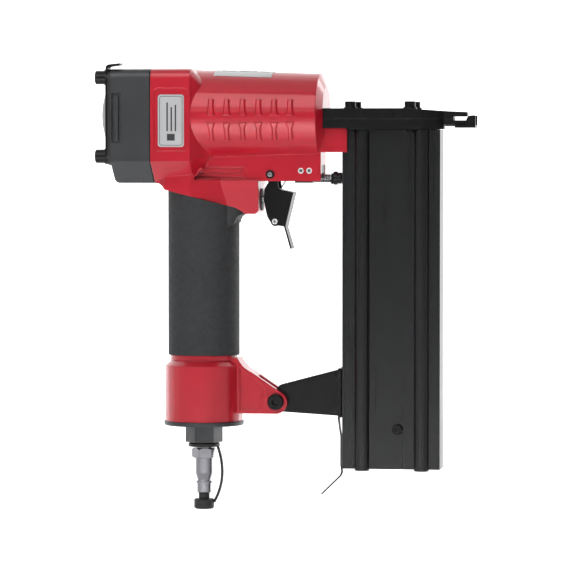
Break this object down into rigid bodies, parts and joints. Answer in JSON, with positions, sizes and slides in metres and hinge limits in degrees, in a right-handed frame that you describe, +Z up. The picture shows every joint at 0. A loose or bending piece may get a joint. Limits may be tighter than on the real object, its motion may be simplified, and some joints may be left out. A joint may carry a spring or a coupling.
{
  "type": "pneumatic brad nail gun",
  "caption": "Air-driven brad nailer with ribbed barrel, rubber pistol grip, sliding bottom-braced magazine, trigger, contact safety and quick-connect air plug.",
  "frame": {"origin": "front tip of the driver guide, on the driver blade's axis", "axes": "+X is the driving direction (towards the workpiece), +Z is up towards the barrel from the handle, +Y points to the side away from the hanging hook"},
  "size_m": [0.2339, 0.058, 0.2768],
  "materials": {
    "red_paint": "glossy metallic paint",
    "black_metal": "satin black coating",
    "black_anodised": "satin black anodised",
    "black_steel": "blackened steel",
    "steel": "bright steel",
    "spring_steel": "spring steel",
    "nickel": "nickel plated",
    "grip_rubber": "fine textured rubber",
    "seal_rubber": "smooth rubber",
    "black_plastic": "matte moulded plastic",
    "aluminium": "machined aluminium",
    "label_silver": "brushed silver foil label",
    "label_grey": "grey foil label"
  },
  "bodies": {
    "gun": {"gun_body": "red_paint", "cylinder_liner": "aluminium", "bumper": "seal_rubber", "head_valve_spring": "spring_steel", "rear_cap": "black_metal", "cap_gasket": "seal_rubber", "plate_pad": "seal_rubber", "exhaust_plate": "black_steel", "cap_bolts": "black_steel", "cap_washers": "black_steel", "left_label": "label_silver", "right_label": "label_silver", "top_label": "label_grey", "grip_sleeve": "grip_rubber", "end_cap": "black_metal", "end_cap_seal": "seal_rubber", "air_plug": "nickel", "dust_ring": "seal_rubber", "dust_strap": "seal_rubber", "trigger_pin": "steel", "trigger_pin_clips": "black_steel", "trigger_spring": "spring_steel", "trigger_valve_body": "black_plastic", "valve_rings": "seal_rubber", "valve_spring": "spring_steel", "ear_pins": "aluminium", "rod_guide": "black_steel", "rod_bracket": "black_steel", "contact_spring": "spring_steel", "driver_guide": "black_steel", "driver_cover": "black_steel", "nose_screws": "black_steel", "nose_washers": "black_steel", "magazine_rail": "black_anodised", "magazine_bracket": "black_steel", "bracket_bolt": "black_steel", "bracket_nut": "black_steel", "bracket_rivets": "steel"},
    "driver": {"piston": "aluminium", "piston_ring": "seal_rubber", "driver_blade": "steel"},
    "head_valve": {"head_valve": "black_plastic", "head_valve_ring": "seal_rubber"},
    "stopper": {"dust_stopper": "seal_rubber"},
    "trigger": {"trigger": "black_steel", "lever_pin": "aluminium"},
    "lever": {"trip_lever": "black_steel"},
    "stem": {"valve_stem": "steel"},
    "contact": {"contact_arm": "black_steel", "safety_rod": "steel", "adjuster_nut": "black_steel"},
    "magazine": {"magazine_cover": "black_anodised", "magazine_end": "black_plastic", "magazine_screw": "black_steel", "pusher_rod": "steel", "pusher_spring": "spring_steel"},
    "pusher": {"nail_pusher": "steel"},
    "latch": {"latch_strip": "black_steel"}
  },
  "joints": [
    {"name": "trigger_pull", "type": "hinge", "parent": "gun", "child": "trigger", "pos_m": [-0.1201, 0, -0.0339], "axis": [0, 1, 0], "range_deg": [0, 5], "stiffness_Nm_per_rad": 1.2, "springref_deg": -4.58, "deforming": ["trigger_spring"]},
    {"name": "trip_lever_swing", "type": "hinge", "parent": "trigger", "child": "lever", "pos_m": [-0.1179, 0, -0.063], "axis": [0, 1, 0], "range_deg": [0, 5], "stiffness_Nm_per_rad": 0.05, "springref_deg": -5.73},
    {"name": "valve_stem_press", "type": "slide", "parent": "gun", "child": "stem", "axis": [-1, 0, 0], "range_m": [0, 0.0015], "deforming": ["valve_spring"]},
    {"name": "contact_arm_press", "type": "slide", "parent": "gun", "child": "contact", "axis": [-1, 0, 0], "range_m": [0, 0.0048], "stiffness_N_per_m": 600, "springref_m": -0.006, "deforming": ["contact_spring"]},
    {"name": "piston_stroke", "type": "slide", "parent": "gun", "child": "driver", "axis": [1, 0, 0], "range_m": [0, 0.0612]},
    {"name": "head_valve_lift", "type": "slide", "parent": "gun", "child": "head_valve", "axis": [-1, 0, 0], "range_m": [0, 0.004], "stiffness_N_per_m": 1500, "springref_m": -0.004, "deforming": ["head_valve_spring"]},
    {"name": "magazine_slide", "type": "slide", "parent": "gun", "child": "magazine", "axis": [0, 0, -1], "range_m": [0, 0.12]},
    {"name": "pusher_slide", "type": "slide", "parent": "magazine", "child": "pusher", "axis": [0, 0, -1], "range_m": [0, 0.11], "stiffness_N_per_m": 100, "springref_m": -0.04, "deforming": ["pusher_spring"]},
    {"name": "latch_flex", "type": "hinge", "parent": "gun", "child": "latch", "pos_m": [-0.0788, 0, -0.1846], "axis": [0, 1, 0], "range_deg": [0, 8], "stiffness_Nm_per_rad": 0.5, "springref_deg": -2.86},
    {"name": "dust_stopper_pull", "type": "slide", "parent": "gun", "child": "stopper", "axis": [0, 0, -1], "range_m": [0, 0.012], "deforming": ["dust_strap"]}
  ],
  "couplings": [
    {"joint": "valve_stem_press", "follows": "trigger_pull", "m_per_rad": 0.0156}
  ]
}
